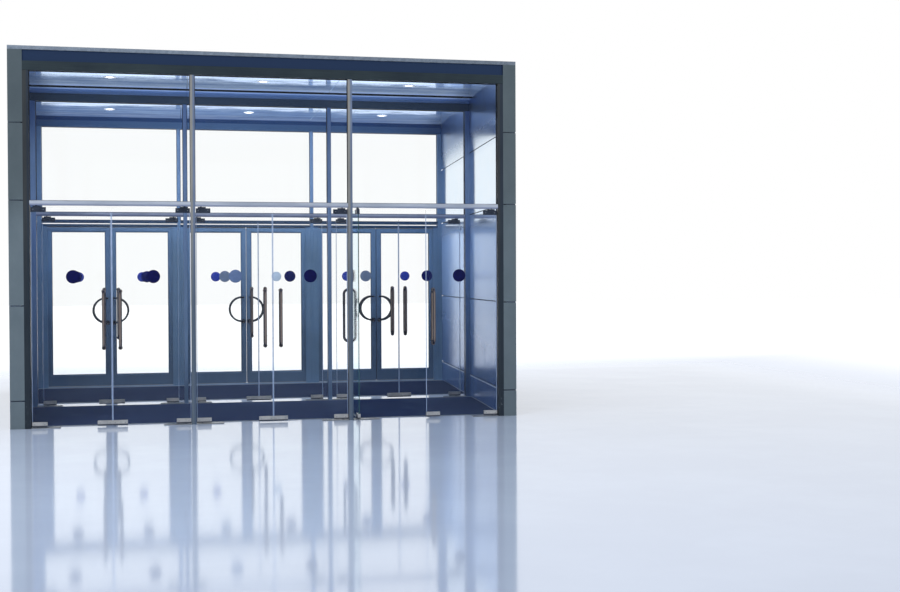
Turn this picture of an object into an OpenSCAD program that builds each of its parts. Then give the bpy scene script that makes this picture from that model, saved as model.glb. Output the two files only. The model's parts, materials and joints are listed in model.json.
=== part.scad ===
// Glazed draught lobby for a building entrance: three rows of double doors, one
// behind the other, between two splayed walls under a metal ceiling.
// Frame: +X to the right seen from indoors, +Y outwards, +Z up, floor at Z = 0.
// Rows are numbered 0 (inner), 1 (middle) and 2 (outer). Leaves are numbered
// 1 to 6 from left to right in each row.

/* [Layout] */
// Centre distance of the posts in the inner row
bay_inner = 1740; // [1600:10:2000]
// Angle by which each side wall opens outwards
splay = 4.1; // [2:0.1:6]
// Distance from the inner row to the middle row
chamber_1 = 2450; // [2200:10:3000]
// Distance from the middle row to the outer row
chamber_2 = 2800; // [2200:10:3400]
// Swing at which the left leaf of the right-hand inner bay stands open
open_angle = 90; // [60:5:90]

/* [Posts and rails] */
// Width of a post across the row
post_w = 50; // [40:1:60]
// Depth of the posts, transoms and heads
frame_d = 100; // [80:1:120]
// Underside of the transoms above the doors
transom_z = 2400; // [2200:10:2600]
// Height of a transom
transom_h = 50; // [40:1:70]
// Underside of the heads above the fanlights
head_z = 3840; // [3500:10:4200]
// Height of the heads, from their underside to the ceiling
head_h = 160; // [140:5:220]
// Height of the face of a head
head_face_h = 100; // [80:1:120]
// Set-back of the upper part of a head
head_recess = 24; // [15:1:30]
// Chamfer along the edges of posts and rails
edge_c = 3; // [1:0.5:4]
// Thickness of the clear glass
glass_t = 12; // [10:1:15]
// Width of the glazing groove
groove_w = 18; // [17:1:24]
// Depth of the glazing groove
groove_d = 14; // [10:1:18]
// Space round a fanlight inside its side and top grooves
glazing_gap = 4; // [2:1:6]

/* [Glass doors] */
// Gap between a post and the edge of a glass leaf
post_gap = 8; // [6:1:12]
// Gap between the two leaves of a pair
meeting_gap = 6; // [5:1:10]
// Distance from the edge of the glass to the pivot
pivot_in = 55; // [50:1:70]
// Width of the fixed glass strips beside the leaves of the middle row
side_strip_w = 60; // [50:1:80]
// Underside of the patch fittings
leaf_z = 13; // [13:1:30]
// Gap between the transom and the top patch
top_gap = 20; // [18:1:26]
// Overlap of a patch beyond the edge of the glass
patch_lip = 2; // [1:0.5:4]

/* [Patch fittings] */
// Length of a patch fitting
patch_w = 158; // [145:1:180]
// Height of a patch fitting
patch_h = 52; // [45:1:60]
// Thickness of a patch fitting over both sides of the glass
patch_d = 32; // [30:1:40]
// Width and depth of the grooves along a patch
patch_groove = 1.5; // [1:0.25:2]
// Distance from the middle of a patch to each groove
patch_groove_z = 11; // [8:0.5:14]
// Width of the notch in the corner of the glass
notch_w = 92; // [88:1:110]
// Height of the notch in the corner of the glass
notch_h = 36; // [30:1:40]
// Radius of the floor spring's spindle
spindle_r = 10; // [8:0.5:12]
// Height of the spindle inside the patch
spindle_in = 25; // [20:1:30]
// Radius of the top pivot pin
pin_r = 7.5; // [6:0.5:9]
// Height of the pin inside the top patch
pin_in = 22; // [18:1:26]
// Distance from the edge of the glass to the housing of the top pivot
housing_in = 20; // [10:1:30]
// Length of the housing of the top pivot
housing_w = 87; // [75:1:100]
// Height of the housing above the top patch
housing_h = 14; // [8:1:14]
// Radial clearance of spindles and pins
pivot_clear = 0.1; // [0.05:0.05:0.2]

/* [Pull handles] */
// Radius of the handle tube
pull_r = 15.5; // [12:0.5:18]
// Distance from the middle of the glass to the middle of the tube
pull_out = 68; // [60:1:70]
// Radius of the bends
pull_bend = 55; // [40:1:56]
// Height of the lower fixing
pull_z = 855; // [700:5:1000]
// Distance between the fixings
pull_l = 615; // [400:10:800]
// Distance from the meeting edge to the handle
pull_in = 84; // [70:1:120]
// Radius of the rose against the glass
rose_r = 21; // [18:1:26]
// Thickness of the rose
rose_t = 4; // [3:0.5:6]
// Radius of the stud through the glass
stud_r = 6; // [5:0.5:7]
// Radius of the hole in the glass for the stud
stud_hole_r = 8; // [7.5:0.5:10]

/* [Framed doors] */
// Width of the door frame's jambs beside each outer post
jamb_w = 59; // [50:1:70]
// Underside of the framed leaves
outer_leaf_z = 20; // [18:1:30]
// Height of the door frame's head under the light slot
frame_head_h = 38; // [30:1:45]
// Height of the light slot through the outer transom
slot_h = 16; // [10:1:20]
// Depth of the slot's glass in the rails over and under it
slot_in = 5; // [4:1:8]
// Drop of the outer transom's underside below the inner ones
outer_drop = 25; // [15:1:40]
// Height of the outer transom
outer_transom_h = 100; // [90:1:120]
// Reach of the stop behind the leaves
stop_w = 15; // [10:1:20]
// Gap between a framed leaf and its stop
stop_gap = 6; // [5:1:8]
// Thickness of a framed leaf
leaf_d = 55; // [50:1:60]
// Width of the stiles
stile_w = 72; // [60:1:85]
// Height of the bottom rail
bottom_rail_h = 167; // [150:5:250]
// Height of the top rail
top_rail_h = 70; // [60:1:100]
// Gap between a framed leaf and its jamb
hinge_gap = 5; // [5:0.5:7]
// Gap between the two framed leaves of a pair
outer_meeting_gap = 10; // [10:0.5:14]
// Gap over a framed leaf
outer_top_gap = 8; // [6:1:10]
// Width of the bevelled glazing beads
bead_w = 16; // [10:1:20]
// Depth of the bevelled glazing beads
bead_d = 10; // [6:1:12]
// Thickness of the sealed glass unit
unit_t = 24; // [20:1:28]
// Depth of the glass unit in its frame
unit_in = 15; // [12:1:20]
// Distance from the outer face of a leaf to its hinge axis
hinge_out = 12; // [11:1:16]
// Radius of the hinge barrels
barrel_r = 10; // [8:0.5:10.5]
// Length of one hinge knuckle
knuckle_l = 60; // [50:1:80]
// Gap between two knuckles of a hinge
knuckle_gap = 0.3; // [0.2:0.1:0.6]
// Distance from the ends of a leaf to its outer hinges
hinge_end = 220; // [180:5:300]
// Radius of the hinge pin
hinge_pin_r = 5; // [4:0.5:6]
// Length of the hinge pin above the fixed knuckle
hinge_pin_l = 46; // [30:1:48]
// Height of the saddle threshold
threshold_h = 12; // [10:1:14]
// Height of the threshold's edges
threshold_edge = 4; // [3:0.5:6]

/* [Half-moon handles] */
// Radius of the bow, to the middle of its tube
bow_r = 182; // [150:2:200]
// Radius of the bow's tube
bow_tube_r = 13; // [11:0.5:16]
// Distance from the face of the leaf to the middle of the tube
bow_out = 55; // [45:1:65]
// Distance from the meeting edge to the ends of the bow
bow_in = 63; // [60:1:70]
// Straight leg from each end of the bow to its peg
bow_leg = 22; // [18:1:24]
// Height of the middle of the bow
bow_z = 1135; // [1000:5:1250]
// Radius of the bow's pegs
peg_r = 11; // [9:0.5:13]
// Radius of the lock rose round the lower peg
lock_r = 34; // [28:1:38]
// Thickness of the lock rose
lock_t = 8; // [6:1:12]

/* [Walls] */
// Thickness of the wall behind its cladding
wall_t = 120; // [100:5:200]
// Thickness of the cladding
clad_t = 30; // [20:1:40]
// Space from an end post to the cladding
wall_gap = 18; // [16:1:30]
// Width of the joints in the cladding
joint_w = 12; // [8:1:16]
// Top of the skirting
skirting_z = 300; // [200:10:400]
// Height of the lower joint above the skirting
joint_1_z = 1320; // [1200:10:1450]
// Height of the middle joint
joint_2_z = 2450; // [2300:10:2600]
// Height of the upper joint
joint_3_z = 3280; // [3100:10:3400]

/* [Ceiling] */
// Thickness of the ceiling panels
ceiling_t = 60; // [40:5:80]
// Thickness of the roof deck
deck_t = 40; // [30:5:60]
// Width of the joints between ceiling panels
ceiling_joint = 8; // [5:1:12]
// Distance from the joint across the inner chamber's ceiling to its downlights
light_1_out = 103; // [90:1:300]
// Distance from the joint across the outer chamber's ceiling to its downlights
light_2_out = 458; // [100:1:600]
// Radius of a downlight's can
can_r = 62; // [50:1:75]
// Radius of a downlight's trim ring
trim_r = 76; // [65:1:90]
// Thickness of a downlight's trim ring
trim_t = 5; // [3:1:8]
// Height of a downlight's can
can_h = 55; // [30:1:58]
// Thickness of the can round the rim of its recess
can_rim = 12; // [8:1:16]
// Radius of the flat inner end of the recess
lamp_r = 30; // [20:1:36]
// Height of the recess inside the can
recess_h = 33; // [20:1:40]
// Gap between a can and its hole in the ceiling
can_gap = 1; // [0.5:0.5:3]
// Width of the air grille in the inner chamber's ceiling
grille_w = 180; // [120:10:220]
// Distance from the middle row to the air grille
grille_in = 140; // [120:5:200]
// Height of the air grille
grille_h = 40; // [30:1:50]
// Thickness of the air grille's blades
blade_t = 5; // [3:0.5:8]
// Number of slots across the air grille
grille_slots = 6; // [4:1:8]
// Width of the bridges between the bays of the air grille
bridge_w = 40; // [30:1:60]

/* [Floor] */
// Thickness of the entrance mats
mat_t = 8; // [6:1:8]
// Width of the edging round the mats
edging_w = 8; // [5:1:15]
// Width of the bare floor outside the inner row
strip_1_w = 75; // [50:5:150]
// Width of the bare floor on the inner side of the middle row
strip_2_w = 165; // [120:5:300]
// Width of the bare floor on the outer side of the middle row
strip_3_w = 320; // [120:5:400]
// Width of the bare floor inside the outer row
strip_4_w = 190; // [100:5:250]
// Length of a floor spring's cover
spring_w = 300; // [260:5:340]
// Depth of a floor spring's cover
spring_d = 96; // [80:1:98]

/* [Hidden] */
$fn = 48;
LEAVES = [0 : 5];
BAYS = [-1 : 1];
ROW_NODES = ["inner_glass_", "inner_fittings_", "middle_glass_", "middle_fittings_",
             "outer_frame_", "outer_glass_", "outer_handles_"];

// Rows, from the reach of the handles at both ends, with the origin in the middle
leaf_reach = pull_out + pull_r;
outer_reach = leaf_d / 2 + bow_out + bow_tube_r;
row_y = [(leaf_reach - outer_reach - chamber_1 - chamber_2) / 2,
         (leaf_reach - outer_reach + chamber_1 - chamber_2) / 2,
         (leaf_reach - outer_reach + chamber_1 + chamber_2) / 2];
front_y = row_y[0] - frame_d / 2;
back_y = row_y[2] + frame_d / 2;
ceiling_z = head_z + head_h;
top_z = ceiling_z + ceiling_t;
// Run of a cut past the faces that it cuts, and of one shape into the next
eps = 1;
lap = 5;

// Distance from the middle of the lobby to the face of the cladding
function wall_x(y) = 1.5 * bay_inner + post_w / 2 + wall_gap + (y - row_y[0]) * tan(splay);
half_x = wall_x(back_y);
// Width of a bay at y, rounded so that touching faces get the same numbers, and centre
// distance of the posts in a row
function bay_at(y) = round(25 * (bay_inner + 2 * (y - row_y[0]) * tan(splay) / 3)) / 25;
function bay(row) = bay_at(row_y[row]);
// Middle of a leaf's bay, and the side of the bay that carries the leaf
function bay_x(row, k) = (floor(k / 2) - 1) * bay(row);
function hand(k) = k % 2 == 0 ? -1 : 1;

// Glass leaves
function side_w(row) = row == 1 ? side_strip_w : 0;
function leaf_w(row) = (bay(row) - post_w - meeting_gap) / 2 - side_w(row) - post_gap;
function pivot_x(row) = post_w / 2 + side_w(row) + post_gap + pivot_in;
leaf_top = transom_z - top_gap;
glass_z = leaf_z + patch_lip;
glass_top = leaf_top - patch_lip;

// Framed leaves and the light slot over them
outer_transom_z = transom_z - outer_drop;
slot_z = outer_transom_z + frame_head_h;
outer_w = (bay(2) - post_w - 2 * jamb_w - 2 * hinge_gap - outer_meeting_gap) / 2;
outer_top = outer_transom_z - outer_top_gap;
hinge_x = post_w / 2 + jamb_w + hinge_gap / 2;
hinge_y = leaf_d / 2 + hinge_out;
light_z = outer_leaf_z + bottom_rail_h;
light_top = outer_top - top_rail_h;
HINGE_HEIGHTS = [outer_leaf_z + hinge_end, (outer_leaf_z + outer_top) / 2,
                 outer_top - hinge_end];

// Rectangle with its corners cut off, from the origin
module chamfered(w, h, c) {
    polygon([[c, 0], [w - c, 0], [w, c], [w, h - c], [w - c, h], [c, h], [0, h - c], [0, c]]);
}

// Everything between the faces of the cladding, from y0 to y1 and z0 to z1
module between_walls(y0, y1, z0, z1, inset = 0) {
    x0 = wall_x(front_y) - inset;
    x1 = wall_x(back_y) - inset;
    intersection() {
        translate([0, 0, z0])
            linear_extrude(z1 - z0)
                polygon([[-x0, front_y], [x0, front_y], [x1, back_y], [-x1, back_y]]);
        translate([-half_x, y0, z0 - eps])
            cube([2 * half_x, y1 - y0, z1 - z0 + 2 * eps]);
    }
}

// Bar along X, drawn as an outline in Y and Z
module bar_x(x0, x1) {
    translate([x0, 0, 0])
        rotate([90, 0, 90])
            linear_extrude(x1 - x0)
                children();
}

// Glazing groove along X in the row, from z0 to z1
module groove_x(row, z0, z1) {
    translate([-half_x, row_y[row] - groove_w / 2, z0])
        cube([2 * half_x, groove_w, z1 - z0]);
}

// Posts of one row, drawn with the nearer side wall towards -X
module post_row(row, groove_z) {
    for (i = [-1.5 : 1 : 1.5])
        intersection() {
            translate([i * bay(row), row_y[row], 0])
                mirror([i > 0 ? 1 : 0, 0, 0])
                    post(groove_z, abs(i) > 1);
            between_walls(front_y, back_y, -eps, head_z + eps);
        }
}

// One post, grooved from groove_z upwards; an end post is filled out towards the wall
module post(groove_z, is_end) {
    difference() {
        union() {
            translate([-post_w / 2, -frame_d / 2, 0])
                linear_extrude(head_z)
                    chamfered(post_w, frame_d, edge_c);
            if (is_end)
                translate([-post_w / 2 - 2 * wall_gap, -frame_d / 2, 0])
                    cube([2 * wall_gap + edge_c, frame_d, head_z]);
        }
        for (side = is_end ? [0] : [0, 1])
            mirror([side, 0, 0])
                translate([post_w / 2 - groove_d, -groove_w / 2, groove_z])
                    cube([groove_d + eps, groove_w, head_z - groove_z + eps]);
    }
}

module inner_posts() {
    color("#5d6670")
        post_row(0, transom_z + transom_h - groove_d);
}

// The middle posts' grooves also hold the side strips
module middle_posts() {
    color("#5d6670")
        post_row(1, mat_t);
}

// Outer posts, with the door frame's jambs, stops and saddle thresholds
module outer_posts() {
    color("#3f4a56") {
        post_row(2, outer_transom_z + outer_transom_h - groove_d);
        for (b = BAYS)
            translate([b * bay(2), row_y[2], 0]) {
                for (side = [0, 1])
                    mirror([side, 0, 0])
                        translate([-bay(2) / 2 + post_w / 2, 0, 0])
                            jamb();
                bar_x(-bay(2) / 2 + post_w / 2 - lap, bay(2) / 2 - post_w / 2 + lap)
                    polygon([[-frame_d / 2, 0], [frame_d / 2, 0], [frame_d / 2, threshold_edge],
                             [frame_d / 4, threshold_h], [-frame_d / 4, threshold_h],
                             [-frame_d / 2, threshold_edge]]);
            }
    }
}

// One jamb, rebated for the leaf, from the side of its post at the origin
module jamb() {
    stop_y = -leaf_d / 2 - stop_gap;
    linear_extrude(outer_transom_z)
        polygon([[-lap, -frame_d / 2 + edge_c], [0, -frame_d / 2 + edge_c],
                 [edge_c, -frame_d / 2], [jamb_w + stop_w, -frame_d / 2],
                 [jamb_w + stop_w, stop_y], [jamb_w, stop_y],
                 [jamb_w, leaf_d / 2 - edge_c], [jamb_w - edge_c, leaf_d / 2],
                 [-lap, leaf_d / 2]]);
    // Fixed knuckles, each with its pin
    for (z = HINGE_HEIGHTS)
        translate([jamb_w + hinge_gap / 2, hinge_y, z - knuckle_l]) {
            knuckle(-1);
            cylinder(r = hinge_pin_r, h = knuckle_l + hinge_pin_l);
        }
}

// Barrel of a hinge on its axis, with an arm to the door or jamb on the given side
module knuckle(side) {
    cylinder(r = barrel_r, h = knuckle_l);
    translate([side < 0 ? -2 * barrel_r : 0, -hinge_out - eps, 0])
        cube([2 * barrel_r, hinge_out + eps, knuckle_l]);
}

// Head of one row, set back above its face, with its glazing groove
module head(row) {
    y0 = row_y[row] - frame_d / 2;
    y1 = row_y[row] + frame_d / 2;
    face_z = head_z + head_face_h;
    intersection() {
        difference() {
            bar_x(-half_x, half_x)
                polygon([[y0, head_z + edge_c], [y0 + edge_c, head_z], [y1 - edge_c, head_z],
                         [y1, head_z + edge_c], [y1, top_z], [y0 + head_recess, top_z],
                         [y0 + head_recess, face_z], [y0, face_z]]);
            groove_x(row, head_z - eps, head_z + groove_d);
        }
        between_walls(front_y, back_y, head_z - eps, top_z + eps);
    }
}

module head_rails() {
    color("#56616d")
        for (row = [0 : 2])
            head(row);
}

// Transoms, one to a bay, grooved on top for the fanlight
module transom_row(row, z, h) {
    for (b = BAYS)
        difference() {
            translate([b * bay(row), row_y[row] - frame_d / 2, z])
                bar_x(-bay(row) / 2 + post_w / 2, bay(row) / 2 - post_w / 2)
                    chamfered(frame_d, h, edge_c);
            groove_x(row, z + h - groove_d, z + h + eps);
        }
}

// The outer transoms are parted by a light slot, over the head of the door frames
module transoms() {
    color("#6a737c") {
        transom_row(0, transom_z, transom_h);
        transom_row(1, transom_z, transom_h);
        difference() {
            transom_row(2, outer_transom_z, outer_transom_h);
            translate([-half_x, row_y[2] - frame_d / 2 - eps, slot_z])
                cube([2 * half_x, frame_d + 2 * eps, slot_h]);
            groove_x(2, slot_z - slot_in, slot_z + slot_h + slot_in);
        }
    }
}

// Sheets of glass in the middle of a row, one to a bay, from z0 to z1; each side reaches
// the given distance past the face of its post
module glass_row(row, reach, z0, z1) {
    w = bay(row) - post_w + 2 * reach;
    for (b = BAYS)
        translate([b * bay(row) - w / 2, row_y[row] - glass_t / 2, z0])
            cube([w, glass_t, z1 - z0]);
}

// Fanlights stand on the bottom of the grooves in their transom, whose top is at z
module fanlight_row(row, z) {
    glass_row(row, groove_d - glazing_gap, z - groove_d, head_z + groove_d - glazing_gap);
}

// Fanlights, glass of the light slots, and strips beside the middle row's leaves
module fixed_glass() {
    color("#a8cfe0", 0.35) {
        fanlight_row(0, transom_z + transom_h);
        fanlight_row(1, transom_z + transom_h);
        fanlight_row(2, outer_transom_z + outer_transom_h);
        glass_row(2, -glazing_gap, slot_z - slot_in, slot_z + slot_h + slot_in);
        for (k = LEAVES)
            beside_post(1, k)
                translate([post_w / 2 - groove_d + glazing_gap, -glass_t / 2, mat_t])
                    cube([groove_d - glazing_gap + side_strip_w, glass_t, transom_z - mat_t]);
    }
}

// Point of a side wall's plan at y, t behind the face of its cladding
function wall_point(y, t) = [wall_x(y) + t / cos(splay), y];
wall_ends = [front_y + clad_t, back_y - clad_t];
wall_depth = clad_t + wall_t;

// Cores of the side walls
module wall_cores() {
    color("#39414a")
        for (side = [0, 1])
            mirror([side, 0, 0])
                linear_extrude(top_z)
                    polygon([wall_point(wall_ends[0], clad_t), wall_point(wall_ends[0], wall_depth),
                             wall_point(wall_ends[1], wall_depth), wall_point(wall_ends[1], clad_t)]);
}

// Cladding of the right-hand wall: panels that turn round its ends, parted by open joints
module wall_cladding() {
    difference() {
        linear_extrude(top_z)
            polygon([wall_point(front_y, 0), wall_point(front_y, wall_depth),
                     wall_point(wall_ends[0], wall_depth), wall_point(wall_ends[0], clad_t),
                     wall_point(wall_ends[1], clad_t), wall_point(wall_ends[1], wall_depth),
                     wall_point(back_y, wall_depth), wall_point(back_y, 0)]);
        for (z = [skirting_z, joint_1_z, joint_2_z, joint_3_z])
            translate([0, front_y - eps, z - joint_w / 2])
                cube([2 * half_x, back_y - front_y + 2 * eps, joint_w]);
        translate([0, row_y[1] - joint_w / 2, -eps])
            cube([2 * half_x, joint_w, top_z + 2 * eps]);
    }
}

module left_cladding() {
    color("#8b96a6")
        mirror([1, 0, 0])
            wall_cladding();
}

module right_cladding() {
    color("#8b96a6")
        wall_cladding();
}

// Middle of the joint across a chamber's ceiling
function joint_y(row) = (row_y[row] + row_y[row + 1] + head_recess) / 2;

// Middles of the downlights
LIGHTS = [for (y = [joint_y(0) + light_1_out, joint_y(1) + light_2_out], b = BAYS)
    [b * bay_at(y), y]];

// Outer edge of the air grille
grille_y = row_y[1] - grille_in;

// Ceiling of one chamber, divided into panels two deep and one to a bay
module ceiling_chamber(row) {
    y0 = row_y[row] + frame_d / 2;
    y1 = row_y[row + 1] - frame_d / 2 + head_recess;
    difference() {
        between_walls(y0, y1, ceiling_z, top_z);
        for (s = [-1, 1])
            translate([s * bay_at(joint_y(row)) / 2 - ceiling_joint / 2, y0 - eps, ceiling_z - eps])
                cube([ceiling_joint, y1 - y0 + 2 * eps, ceiling_t + 2 * eps]);
        translate([-half_x, joint_y(row) - ceiling_joint / 2, ceiling_z - eps])
            cube([2 * half_x, ceiling_joint, ceiling_t + 2 * eps]);
    }
}

// The inner chamber's ceiling is open over the air grille
module ceiling_panels() {
    color("#7d8ea6")
        difference() {
            union() {
                ceiling_chamber(0);
                ceiling_chamber(1);
            }
            for (p = LIGHTS)
                translate([p[0], p[1], ceiling_z - eps])
                    cylinder(r = can_r + can_gap, h = ceiling_t + 2 * eps);
            translate([-half_x, grille_y - grille_w, ceiling_z - eps])
                cube([2 * half_x, grille_w, ceiling_t + 2 * eps]);
        }
}

// Air grille from wall to wall, with long slots between its blades
module air_grille() {
    pitch = (grille_w - blade_t) / grille_slots;
    color("#15181c")
        difference() {
            between_walls(grille_y - grille_w, grille_y, ceiling_z, ceiling_z + grille_h);
            for (b = BAYS, i = [1 : grille_slots])
                translate([b * bay_at(grille_y) - (bay_inner - bridge_w) / 2, grille_y - i * pitch,
                           ceiling_z - eps])
                    cube([bay_inner - bridge_w, pitch - blade_t, grille_h + 2 * eps]);
        }
}

module roof_deck() {
    left_back = wall_point(back_y, wall_depth);
    left_front = wall_point(front_y, wall_depth);
    color("#6b737c")
        translate([0, 0, top_z])
            linear_extrude(deck_t)
                polygon([left_front, left_back, [-left_back[0], back_y], [-left_front[0], front_y]]);
}

// Downlight: a trim ring and a can with a cone-shaped recess
module downlights() {
    color("#c9cdd1")
        for (p = LIGHTS)
            translate([p[0], p[1], ceiling_z])
                rotate_extrude()
                    polygon([[0, recess_h], [lamp_r, recess_h], [can_r - can_rim, -trim_t],
                             [trim_r - trim_t, -trim_t], [trim_r, 0], [can_r, 0],
                             [can_r, can_h], [0, can_h]]);
}

// Places something in a row, from the centre line of the post beside leaf k
module beside_post(row, k) {
    translate([bay_x(row, k), row_y[row], 0])
        mirror([hand(k) > 0 ? 1 : 0, 0, 0])
            translate([-bay(row) / 2, 0, 0])
                children();
}

// Floor spring covers with their spindles, at the pivots of the inner and middle rows
module floor_springs() {
    color("#8a8f94")
        for (row = [0, 1], k = LEAVES)
            beside_post(row, k) {
                translate([post_w / 2, -spring_d / 2, 0])
                    linear_extrude(mat_t)
                        chamfered(spring_w, spring_d, edge_c);
                translate([pivot_x(row), 0, 0])
                    cylinder(r = spindle_r, h = leaf_z + spindle_in);
            }
}

// Pins of the top pivots, under the transoms
module top_pivots() {
    color("#33383d")
        for (row = [0, 1], k = LEAVES)
            beside_post(row, k)
                translate([pivot_x(row), 0, leaf_top - pin_in])
                    cylinder(r = pin_r, h = top_gap + pin_in);
}

// Ends of each mat along Y, inside its edging
MATS = [[row_y[0] + frame_d / 2 + strip_1_w, row_y[1] - strip_2_w],
        [row_y[1] + strip_3_w, row_y[2] - frame_d / 2 - strip_4_w]];

module entrance_mats() {
    color("#23272d")
        for (m = MATS)
            between_walls(m[0] + edging_w, m[1] - edging_w, 0, mat_t, edging_w);
}

module mat_edging() {
    color("#9aa0a6")
        for (m = MATS)
            difference() {
                between_walls(m[0], m[1], 0, mat_t);
                between_walls(m[0] + edging_w, m[1] - edging_w, -eps, mat_t + eps, edging_w);
            }
}

// Places a leaf, drawn from its pivot along +X, in its row
module place_leaf(row, k, offset_x) {
    swing = row == 0 && k == 4 ? open_angle : 0;
    beside_post(row, k)
        translate([offset_x, 0, 0])
            rotate([0, 0, swing])
                children();
}

// Sheet of glass with notched corners for the patches and holes for the handle
module leaf_glass(w) {
    difference() {
        rotate([90, 0, 0])
            linear_extrude(glass_t, center = true)
                difference() {
                    translate([-pivot_in, glass_z])
                        square([w, glass_top - glass_z]);
                    translate([-pivot_in - eps, glass_z - eps])
                        square([notch_w + eps, notch_h + eps]);
                    translate([-pivot_in - eps, glass_top - notch_h])
                        square([notch_w + eps, notch_h + eps]);
                    translate([w - pivot_in - notch_w, glass_z - eps])
                        square([notch_w + eps, notch_h + eps]);
                }
        for (z = [pull_z, pull_z + pull_l])
            translate([w - pivot_in - pull_in, 0, z])
                rotate([90, 0, 0])
                    cylinder(r = stud_hole_r, h = 2 * glass_t, center = true);
    }
}

// Patch fitting from x to x + patch_w, standing on z, with two grooves along each face
module patch(x, z) {
    translate([0, -patch_d / 2, z])
        bar_x(x, x + patch_w)
            difference() {
                chamfered(patch_d, patch_h, edge_c / 2);
                for (side = [0, patch_d], s = [-1, 1])
                    translate([side, patch_h / 2 + s * patch_groove_z])
                        square([2 * patch_groove, patch_groove], center = true);
            }
}

// One bow of the pull handle, on the outer side of the glass
module pull_bow() {
    translate([0, pull_out, pull_z + pull_bend])
        cylinder(r = pull_r, h = pull_l - 2 * pull_bend);
    for (end = [0, 1])
        translate([0, 0, pull_z + end * pull_l])
            mirror([0, 0, end]) {
                translate([0, pull_out - pull_bend, pull_bend])
                    rotate([-90, 0, 90])
                        rotate_extrude(angle = 90)
                            translate([pull_bend, 0])
                                circle(r = pull_r);
                translate([0, glass_t / 2, 0])
                    rotate([-90, 0, 0]) {
                        cylinder(r = pull_r, h = pull_out - pull_bend - glass_t / 2);
                        cylinder(r = rose_r, h = rose_t);
                    }
            }
}

// Pull handles on both sides, held by studs through the glass
module pull_handle() {
    pull_bow();
    mirror([0, 1, 0])
        pull_bow();
    for (z = [pull_z, pull_z + pull_l])
        translate([0, 0, z])
            rotate([90, 0, 0])
                cylinder(r = stud_r, h = glass_t + 2 * eps, center = true);
}

// Patches, housing of the top pivot, and handle of a glass leaf
module leaf_fittings(w) {
    difference() {
        union() {
            patch(-pivot_in - patch_lip, leaf_z);
            patch(-pivot_in - patch_lip, leaf_top - patch_h);
            patch(w - pivot_in + patch_lip - patch_w, leaf_z);
            translate([housing_in - pivot_in, edge_c - patch_d / 2, leaf_top - lap])
                cube([housing_w, patch_d - 2 * edge_c, lap + housing_h]);
        }
        leaf_glass(w);
        translate([0, 0, leaf_z - eps])
            cylinder(r = spindle_r + pivot_clear, h = spindle_in + 2 * eps);
        translate([0, 0, leaf_top - pin_in - eps])
            cylinder(r = pin_r + pivot_clear, h = pin_in + housing_h + 2 * eps);
    }
    translate([w - pivot_in - pull_in, 0, 0])
        pull_handle();
}

module inner_glass(k) {
    color("#9cc8d8", 0.35)
        place_leaf(0, k, pivot_x(0))
            leaf_glass(leaf_w(0));
}

module inner_fittings(k) {
    color("#6f6a63")
        place_leaf(0, k, pivot_x(0))
            leaf_fittings(leaf_w(0));
}

module middle_glass(k) {
    color("#9cc8d8", 0.35)
        place_leaf(1, k, pivot_x(1))
            leaf_glass(leaf_w(1));
}

module middle_fittings(k) {
    color("#6f6a63")
        place_leaf(1, k, pivot_x(1))
            leaf_fittings(leaf_w(1));
}

// Sealed glass unit of a framed leaf, drawn from its hinge edge
module outer_unit() {
    translate([stile_w - unit_in, -unit_t / 2, light_z - unit_in])
        cube([outer_w - 2 * (stile_w - unit_in), unit_t, light_top - light_z + 2 * unit_in]);
}

// Outline across the thickness of an opening from a to b, bevelled at both faces
module bevelled_opening(a, b) {
    waist = leaf_d / 2 - bead_d;
    face = leaf_d / 2 + eps;
    flare = bead_w * (bead_d + eps) / bead_d;
    polygon([[a - flare, -face], [b + flare, -face], [b, -waist], [b, waist],
             [b + flare, face], [a - flare, face], [a, waist], [a, -waist]]);
}

// Opening of a framed leaf for its glass, with mitred bevels round both faces
module leaf_opening() {
    intersection() {
        translate([0, 0, outer_leaf_z])
            linear_extrude(outer_top - outer_leaf_z)
                bevelled_opening(stile_w, outer_w - stile_w);
        bar_x(0, outer_w)
            mirror([1, -1])
                bevelled_opening(light_z, light_top);
    }
}

// Frame of a leaf with its hinge knuckles, drawn from its hinge edge
module framed_leaf() {
    difference() {
        translate([0, -leaf_d / 2, outer_leaf_z])
            cube([outer_w, leaf_d, outer_top - outer_leaf_z]);
        leaf_opening();
        outer_unit();
    }
    difference() {
        for (z = HINGE_HEIGHTS)
            translate([-hinge_gap / 2, hinge_y, z + knuckle_gap])
                knuckle(1);
        for (z = HINGE_HEIGHTS)
            translate([-hinge_gap / 2, hinge_y, z - eps])
                cylinder(r = hinge_pin_r + pivot_clear, h = hinge_pin_l + 2 * eps);
    }
}

// Half-moon handle: a bow parallel to the leaf with short legs, on two pegs, and a lock
// rose round the lower one
module half_moon() {
    translate([0, leaf_d / 2, bow_z]) {
        translate([0, bow_out, 0])
            rotate([90, 90, 0])
                rotate_extrude(angle = -180)
                    translate([bow_r, 0])
                        circle(r = bow_tube_r);
        for (s = [-1, 1])
            translate([0, bow_out, s * bow_r]) {
                rotate([0, 90, 0])
                    cylinder(r = bow_tube_r, h = bow_leg);
                translate([bow_leg, 0, 0]) {
                    sphere(r = bow_tube_r);
                    rotate([90, 0, 0])
                        cylinder(r = peg_r, h = bow_out);
                }
            }
        translate([bow_leg, 0, -bow_r])
            rotate([-90, 0, 0])
                cylinder(r = lock_r, h = lock_t);
    }
}

module outer_frame(k) {
    color("#2f3944")
        place_leaf(2, k, hinge_x + hinge_gap / 2)
            framed_leaf();
}

module outer_glass(k) {
    color("#9cc8d8", 0.35)
        place_leaf(2, k, hinge_x + hinge_gap / 2)
            outer_unit();
}

module outer_handles(k) {
    color("#1d2228")
        place_leaf(2, k, hinge_x + hinge_gap / 2)
            for (side = [0, 1])
                mirror([0, side, 0])
                    translate([outer_w - bow_in, 0, 0])
                        half_moon();
}

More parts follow.
